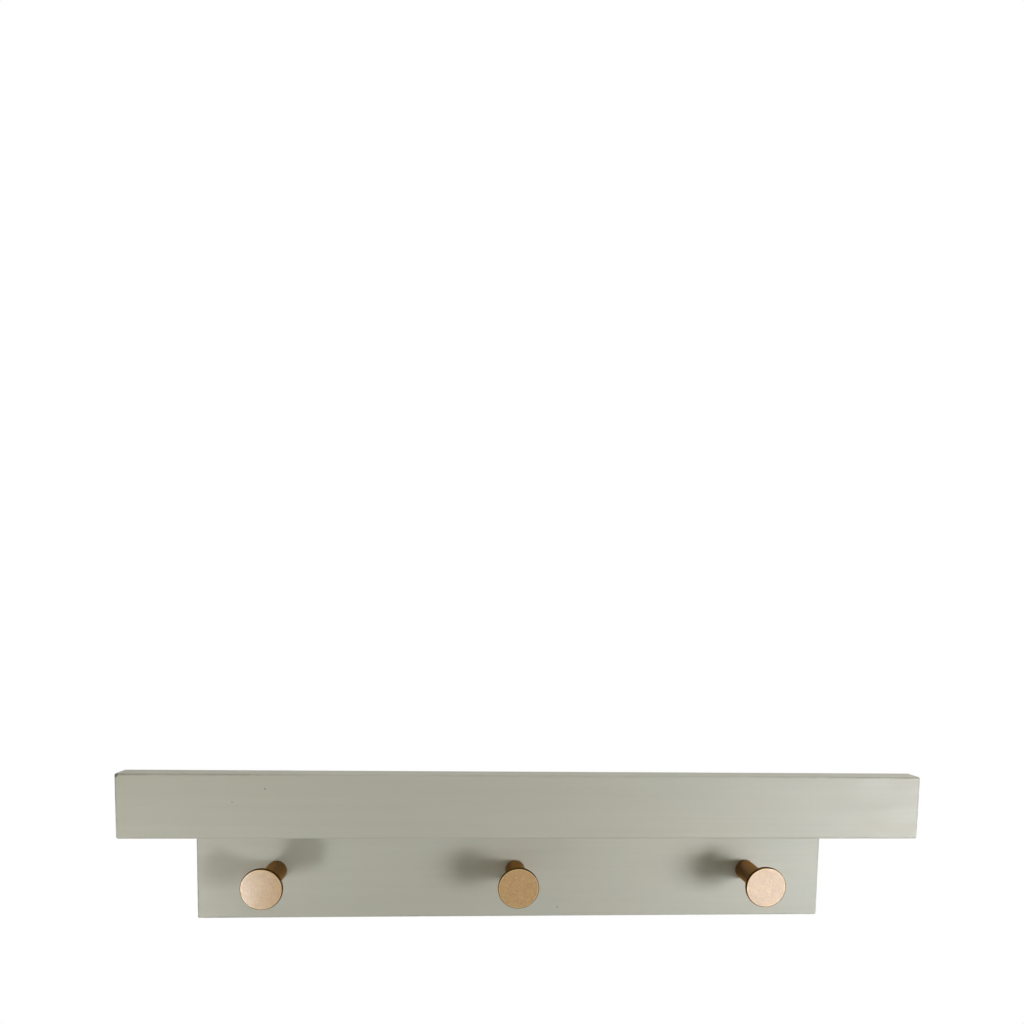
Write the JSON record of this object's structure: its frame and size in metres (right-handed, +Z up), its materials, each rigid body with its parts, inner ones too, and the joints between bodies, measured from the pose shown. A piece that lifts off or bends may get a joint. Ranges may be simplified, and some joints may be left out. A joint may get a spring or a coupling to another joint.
{
  "type": "peg rail with shelf",
  "caption": "Wall-hung painted peg rail with a shallow lipped shelf above it and round-headed metal pegs below, hung on keyhole plates let into its back.",
  "frame": {"origin": "middle of the rail's back face, on the wall", "axes": "+X along the boards, to the right as seen from the room; +Y out of the rail's back, into the wall; +Z up"},
  "size_m": [0.6, 0.168, 0.168],
  "materials": {
    "painted_wood": "satin sage-grey paint on wood, faint brush marks along the boards",
    "peg_metal": "satin rose-gold plating",
    "zinc_plated_steel": "bright zinc plating",
    "hanger_steel": "zinc-plated pressed sheet",
    "dowel_wood": "bare beech"
  },
  "bodies": {
    "root": {"shelf_lip": "painted_wood", "shelf_deck": "painted_wood", "peg_rail": "painted_wood", "peg_left": "peg_metal", "peg_centre": "peg_metal", "peg_right": "peg_metal", "peg_bolts": "zinc_plated_steel", "lip_dowels": "dowel_wood", "shelf_screws": "zinc_plated_steel", "keyhole_hangers": "hanger_steel", "hanger_screws": "zinc_plated_steel"}
  },
  "joints": []
}
